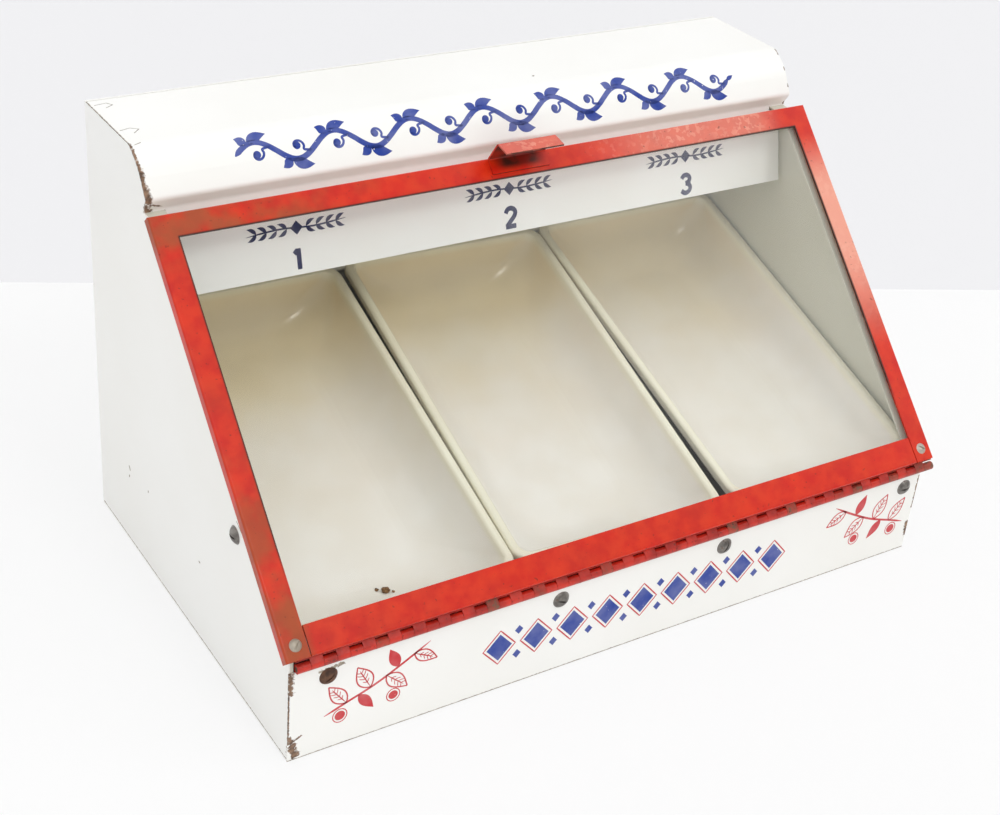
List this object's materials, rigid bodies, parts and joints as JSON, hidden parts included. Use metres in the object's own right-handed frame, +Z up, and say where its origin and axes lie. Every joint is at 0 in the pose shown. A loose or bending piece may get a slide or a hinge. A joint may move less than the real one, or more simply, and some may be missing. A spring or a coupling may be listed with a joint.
{
  "type": "nut warmer cabinet",
  "caption": "Countertop warming display cabinet for nuts, with a sloping glazed door on a piano hinge, tilted bins, a sign strip and a rounded fascia.",
  "frame": {"origin": "on the counter, under the middle of the cabinet", "axes": "+X right along the front, +Y to the back, +Z up"},
  "size_m": [0.3806, 0.2288, 0.227],
  "materials": {
    "white_enamel": "glossy white enamel, chipped and rusted at its edges",
    "red_enamel": "glossy red enamel, worn and stained",
    "sign_enamel": "satin white enamel",
    "bin_plastic": "glossy ivory plastic, tanned by heat",
    "ledge_enamel": "white enamel",
    "hinge_paint": "red paint worn off some knuckles",
    "hinge_steel": "dull steel",
    "screw_steel": "tarnished steel",
    "zinc_steel": "dull zinc plating",
    "door_screw_steel": "plated steel",
    "door_glass": "clear window glass",
    "holder_plastic": "black phenolic",
    "lamp_cap_metal": "bright lamp cap",
    "lamp_glass": "frosted lamp glass",
    "grommet_rubber": "black rubber"
  },
  "bodies": {
    "cabinet": {"side_panel_left": "white_enamel", "side_panel_right": "white_enamel", "top_cover": "white_enamel", "front_panel": "white_enamel", "back_panel": "white_enamel", "base_pan": "white_enamel", "sign_strip": "sign_enamel", "bin_left": "bin_plastic", "bin_centre": "bin_plastic", "bin_right": "bin_plastic", "front_ledge": "ledge_enamel", "rear_ledge": "ledge_enamel", "hinge_lower_leaf": "hinge_paint", "hinge_pin": "hinge_steel", "hinge_screws": "screw_steel", "hinge_nuts": "zinc_steel", "side_screw": "screw_steel", "side_nut": "zinc_steel", "lamp_bracket_left": "zinc_steel", "lamp_bracket_right": "zinc_steel", "lampholder_left": "holder_plastic", "lampholder_right": "holder_plastic", "lamp_cap_left": "lamp_cap_metal", "lamp_cap_right": "lamp_cap_metal", "lamp_glass_left": "lamp_glass", "lamp_glass_right": "lamp_glass", "back_screws": "zinc_steel", "bracket_screws": "zinc_steel", "cord_grommet": "grommet_rubber"},
    "door": {"door_side_rail_left": "red_enamel", "door_side_rail_right": "red_enamel", "door_top_rail": "red_enamel", "door_bottom_rail": "red_enamel", "door_handle": "red_enamel", "door_corner_keys": "zinc_steel", "door_screws": "door_screw_steel", "door_glass": "door_glass", "hinge_upper_leaf": "hinge_paint"}
  },
  "joints": [
    {"name": "door_hinge", "type": "hinge", "parent": "cabinet", "child": "door", "pos_m": [0, -0.11205, 0.0525], "axis": [1, 0, 0], "range_deg": [0, 140]}
  ]
}
